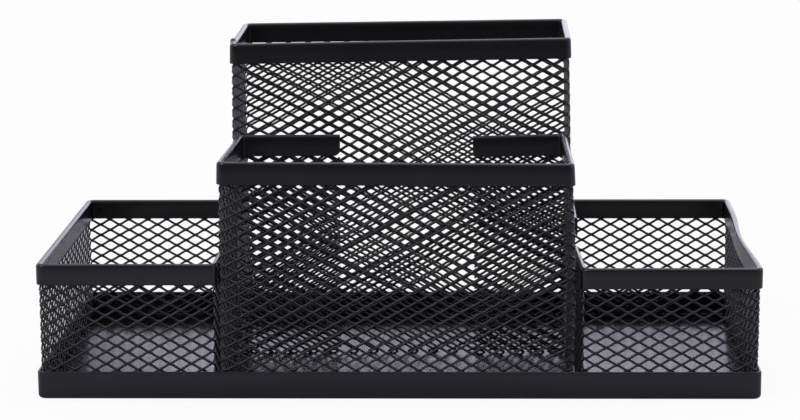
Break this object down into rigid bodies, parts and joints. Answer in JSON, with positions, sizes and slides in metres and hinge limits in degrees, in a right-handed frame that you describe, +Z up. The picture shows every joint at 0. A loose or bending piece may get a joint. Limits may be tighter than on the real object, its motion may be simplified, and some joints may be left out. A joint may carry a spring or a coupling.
{
  "type": "mesh desk organizer",
  "caption": "Desk organizer of black expanded metal mesh: a front pen cup and a taller rear cup between low side trays, on a solid base pan with an upright band.",
  "frame": {"origin": "middle of the pan's underside, on the surface it stands on", "axes": "+X to the right across the width, +Y to the back, where the taller cup is, +Z up"},
  "size_m": [0.205, 0.103, 0.096],
  "materials": {
    "pan": "satin",
    "mesh": "satin",
    "rim": "satin"
  },
  "bodies": {
    "root": {"base_pan": "pan", "left_tray_mesh": "mesh", "left_tray_rim": "rim", "right_tray_mesh": "mesh", "right_tray_rim": "rim", "front_cup_mesh": "mesh", "front_cup_rim": "rim", "rear_cup_mesh": "mesh", "rear_cup_rim": "rim"}
  },
  "joints": []
}
